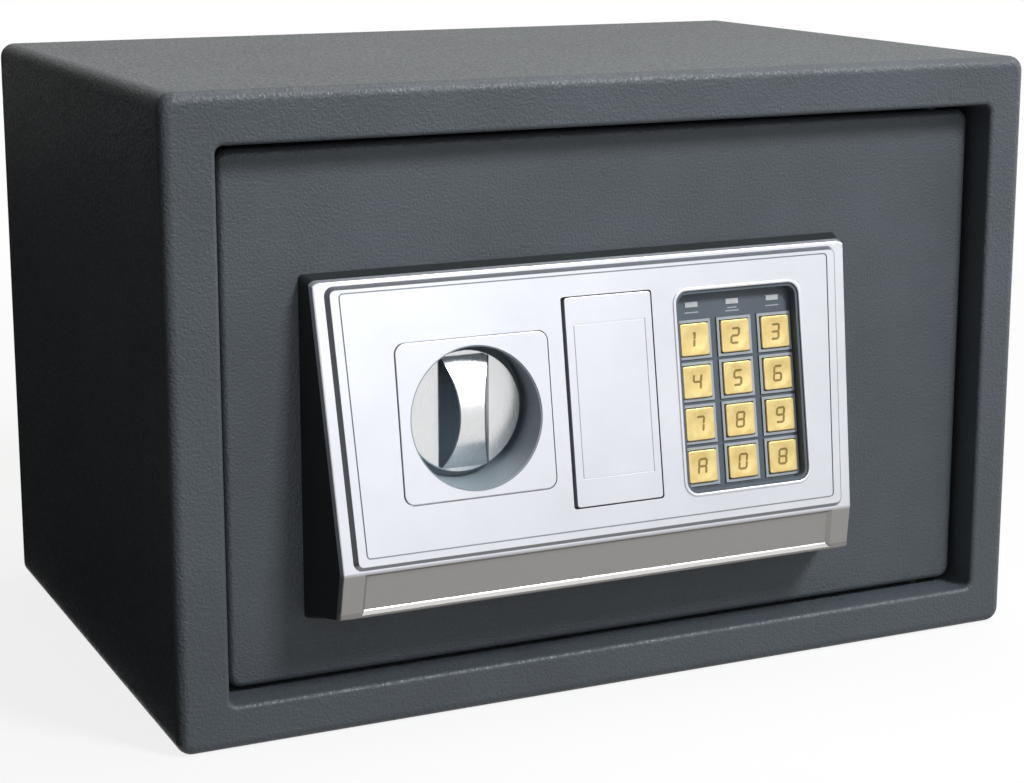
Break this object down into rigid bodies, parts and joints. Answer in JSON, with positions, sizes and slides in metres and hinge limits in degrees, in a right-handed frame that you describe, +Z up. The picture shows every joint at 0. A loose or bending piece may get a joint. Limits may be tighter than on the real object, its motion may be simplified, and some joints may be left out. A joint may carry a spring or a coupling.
{
  "type": "electronic safe",
  "caption": "Small steel box safe with a recessed hinged door, a wedge-shaped keypad console, a turning knob that throws round bolts, and an emergency key lock.",
  "frame": {"origin": "on the underside, at the centre of the box and of its four floor anchor holes", "axes": "+X to the viewer's right along the longest side, +Y into the safe towards its back, +Z up"},
  "size_m": [0.302, 0.213, 0.2],
  "materials": {
    "anthracite_paint": "fine-textured anthracite powder coat",
    "liner_paint": "smooth dark grey powder coat",
    "felt": "black needle felt",
    "zinc_steel": "zinc-plated steel",
    "black_plastic": "black ABS with a fine texture",
    "silver_paint": "satin silver paint on ABS",
    "satin_metal": "satin chromed zinc casting",
    "coil_wrap": "amber tape over a wound coil",
    "brass": "machined brass",
    "slate_plastic": "slate grey plastic",
    "light_lens": "milky light window",
    "rubber": "grey silicone rubber",
    "circuit_green": "green solder mask",
    "cell_jacket": "plain dark printed jacket",
    "red_plastic": "red moulded plastic",
    "gold_key": "gold lacquer on moulded plastic"
  },
  "bodies": {
    "body": {"body_wrap": "anthracite_paint", "door_jamb": "anthracite_paint", "back_panel": "anthracite_paint", "floor_mat": "felt", "hinge_pins": "zinc_steel", "door_stops": "anthracite_paint"},
    "door": {"door_pan": "anthracite_paint", "hinge_blocks": "zinc_steel", "console_base": "black_plastic", "console_front": "silver_paint", "face_plate": "silver_paint", "knob_escutcheon": "silver_paint", "console_screws": "zinc_steel", "guide_studs": "zinc_steel", "solenoid_frame": "zinc_steel", "solenoid_coil": "coil_wrap", "lock_barrel": "brass", "lock_nut": "zinc_steel", "keypad_tray": "slate_plastic", "light_windows": "light_lens", "key_membrane": "rubber", "circuit_board": "circuit_green", "door_liner": "liner_paint", "liner_posts": "zinc_steel", "liner_screws": "zinc_steel", "battery_box": "black_plastic", "battery_cells": "cell_jacket", "reset_switch": "black_plastic"},
    "knob": {"knob": "satin_metal", "knob_shaft": "zinc_steel", "drive_arm": "zinc_steel"},
    "bolt_carriage": {"bolt_carriage": "zinc_steel", "bolts": "zinc_steel"},
    "solenoid_plunger": {"solenoid_plunger": "zinc_steel"},
    "lock_plug": {"lock_plug": "brass", "lock_cam": "zinc_steel"},
    "key_cover": {"key_cover": "silver_paint"},
    "battery_cover": {"battery_cover": "black_plastic"},
    "reset_button": {"reset_button": "red_plastic"},
    "key_1": {"key_1": "gold_key"},
    "key_2": {"key_2": "gold_key"},
    "key_3": {"key_3": "gold_key"},
    "key_4": {"key_4": "gold_key"},
    "key_5": {"key_5": "gold_key"},
    "key_6": {"key_6": "gold_key"},
    "key_7": {"key_7": "gold_key"},
    "key_8": {"key_8": "gold_key"},
    "key_9": {"key_9": "gold_key"},
    "key_a": {"key_a": "gold_key"},
    "key_0": {"key_0": "gold_key"},
    "key_b": {"key_b": "gold_key"}
  },
  "joints": [
    {"name": "door_hinge", "type": "hinge", "parent": "body", "child": "door", "pos_m": [0.1235, -0.0835, 0.0987], "axis": [0, 0, 1], "range_deg": [0, 95]},
    {"name": "knob_turn", "type": "hinge", "parent": "door", "child": "knob", "pos_m": [-0.0555, -0.092, 0.0972], "axis": [0, -1, 0], "range_deg": [0, 90]},
    {"name": "bolt_slide", "type": "slide", "parent": "door", "child": "bolt_carriage", "axis": [-1, 0, 0], "range_m": [0, 0.014]},
    {"name": "plunger_lift", "type": "slide", "parent": "door", "child": "solenoid_plunger", "axis": [0, 0, 1], "range_m": [0, 0.002], "stiffness_N_per_m": 60},
    {"name": "key_lock_turn", "type": "hinge", "parent": "door", "child": "lock_plug", "pos_m": [-0.00795, -0.10165, 0.09799], "axis": [0, 1, 0], "range_deg": [0, 90]},
    {"name": "key_cover_lift", "type": "slide", "parent": "door", "child": "key_cover", "axis": [0, -0.9865, 0.1637], "range_m": [0, 0.01]},
    {"name": "battery_cover_lift", "type": "slide", "parent": "door", "child": "battery_cover", "axis": [0, 1, 0], "range_m": [0, 0.01]},
    {"name": "reset_press", "type": "slide", "parent": "door", "child": "reset_button", "axis": [0, -1, 0], "range_m": [0, 0.0012], "stiffness_N_per_m": 300},
    {"name": "key_1_press", "type": "slide", "parent": "door", "child": "key_1", "axis": [0, 0.9865, -0.1637], "range_m": [0, 0.0006], "stiffness_N_per_m": 800},
    {"name": "key_2_press", "type": "slide", "parent": "door", "child": "key_2", "axis": [0, 0.9865, -0.1637], "range_m": [0, 0.0006], "stiffness_N_per_m": 800},
    {"name": "key_3_press", "type": "slide", "parent": "door", "child": "key_3", "axis": [0, 0.9865, -0.1637], "range_m": [0, 0.0006], "stiffness_N_per_m": 800},
    {"name": "key_4_press", "type": "slide", "parent": "door", "child": "key_4", "axis": [0, 0.9865, -0.1637], "range_m": [0, 0.0006], "stiffness_N_per_m": 800},
    {"name": "key_5_press", "type": "slide", "parent": "door", "child": "key_5", "axis": [0, 0.9865, -0.1637], "range_m": [0, 0.0006], "stiffness_N_per_m": 800},
    {"name": "key_6_press", "type": "slide", "parent": "door", "child": "key_6", "axis": [0, 0.9865, -0.1637], "range_m": [0, 0.0006], "stiffness_N_per_m": 800},
    {"name": "key_7_press", "type": "slide", "parent": "door", "child": "key_7", "axis": [0, 0.9865, -0.1637], "range_m": [0, 0.0006], "stiffness_N_per_m": 800},
    {"name": "key_8_press", "type": "slide", "parent": "door", "child": "key_8", "axis": [0, 0.9865, -0.1637], "range_m": [0, 0.0006], "stiffness_N_per_m": 800},
    {"name": "key_9_press", "type": "slide", "parent": "door", "child": "key_9", "axis": [0, 0.9865, -0.1637], "range_m": [0, 0.0006], "stiffness_N_per_m": 800},
    {"name": "key_a_press", "type": "slide", "parent": "door", "child": "key_a", "axis": [0, 0.9865, -0.1637], "range_m": [0, 0.0006], "stiffness_N_per_m": 800},
    {"name": "key_0_press", "type": "slide", "parent": "door", "child": "key_0", "axis": [0, 0.9865, -0.1637], "range_m": [0, 0.0006], "stiffness_N_per_m": 800},
    {"name": "key_b_press", "type": "slide", "parent": "door", "child": "key_b", "axis": [0, 0.9865, -0.1637], "range_m": [0, 0.0006], "stiffness_N_per_m": 800}
  ],
  "couplings": [
    {"joint": "knob_turn", "follows": "bolt_slide", "rad_per_m": 112.2}
  ]
}
